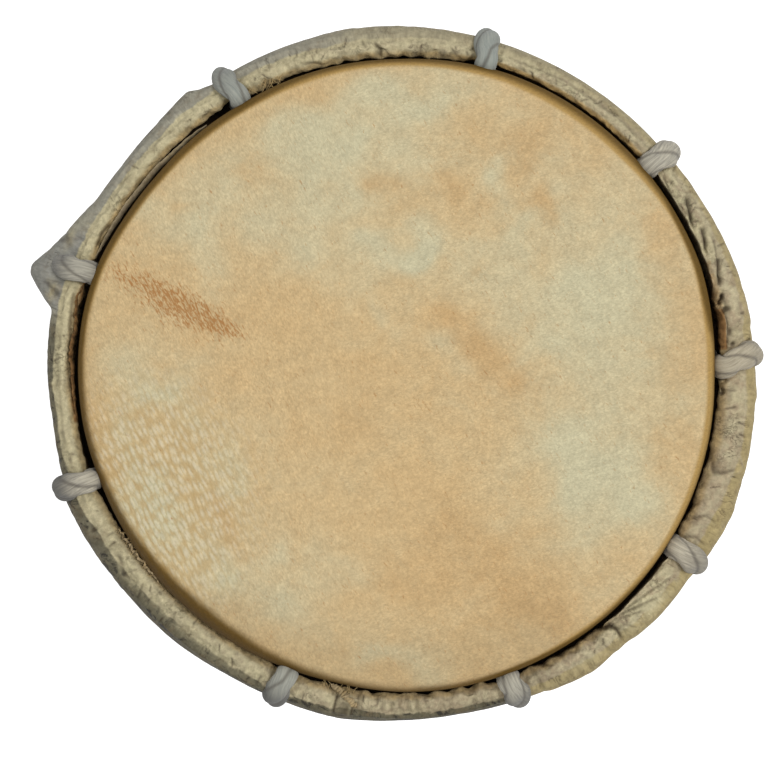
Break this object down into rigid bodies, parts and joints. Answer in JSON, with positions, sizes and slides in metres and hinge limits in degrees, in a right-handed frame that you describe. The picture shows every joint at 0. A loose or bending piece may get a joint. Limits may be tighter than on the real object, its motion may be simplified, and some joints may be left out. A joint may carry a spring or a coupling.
{
  "type": "damaru",
  "caption": "Two-headed hourglass hand drum with rope-laced goat-skin heads lapped on cane hoops, a corded waist and swinging bead strikers.",
  "frame": {"origin": "middle of the lower head's face, on the surface that the drum stands on", "axes": "+Z along the drum's axis to the upper head, +X to the right and +Y to the top of the picture"},
  "size_m": [0.1948, 0.1485, 0.17],
  "materials": {
    "goat_skin": "dry cleaned goat skin, matt, cream to tan in patches",
    "cane": "split cane, bare",
    "cotton_rope": "twisted cotton, grey-beige, worn",
    "turned_wood": "turned hardwood, oiled",
    "waist_cord": "twisted cotton cord",
    "rawhide": "rawhide thong, waxed",
    "bead_wood": "turned hardwood bead, oiled"
  },
  "bodies": {
    "drum": {"shell": "turned_wood", "upper_skin": "goat_skin", "lower_skin": "goat_skin", "upper_hoop": "cane", "lower_hoop": "cane", "lacing": "cotton_rope", "lacing_knot": "cotton_rope", "waist_winding": "waist_cord", "winding_knot_upper": "waist_cord", "winding_knot_lower": "waist_cord", "waist_ring": "waist_cord"},
    "thong_a": {"striker_a_thong": "rawhide"},
    "tip_a": {"striker_a_tip": "rawhide", "striker_a_bead": "bead_wood"},
    "thong_b": {"striker_b_thong": "rawhide"},
    "tip_b": {"striker_b_tip": "rawhide", "striker_b_bead": "bead_wood"}
  },
  "joints": [
    {"name": "swing_a", "type": "hinge", "parent": "drum", "child": "thong_a", "pos_m": [0.02872, 0.01685, 0.085], "axis": [0.506, -0.8625, 0], "range_deg": [0, 122.4]},
    {"name": "fold_a", "type": "hinge", "parent": "thong_a", "child": "tip_a", "pos_m": [0.06781, 0.03978, 0.0025], "axis": [0.506, -0.8625, 0], "range_deg": [-167.2, 23.7]},
    {"name": "swing_b", "type": "hinge", "parent": "drum", "child": "thong_b", "pos_m": [-0.02872, -0.01685, 0.085], "axis": [-0.506, 0.8625, 0], "range_deg": [0, 122.4]},
    {"name": "fold_b", "type": "hinge", "parent": "thong_b", "child": "tip_b", "pos_m": [-0.06781, -0.03978, 0.0025], "axis": [-0.506, 0.8625, 0], "range_deg": [-167.2, 23.7]}
  ]
}
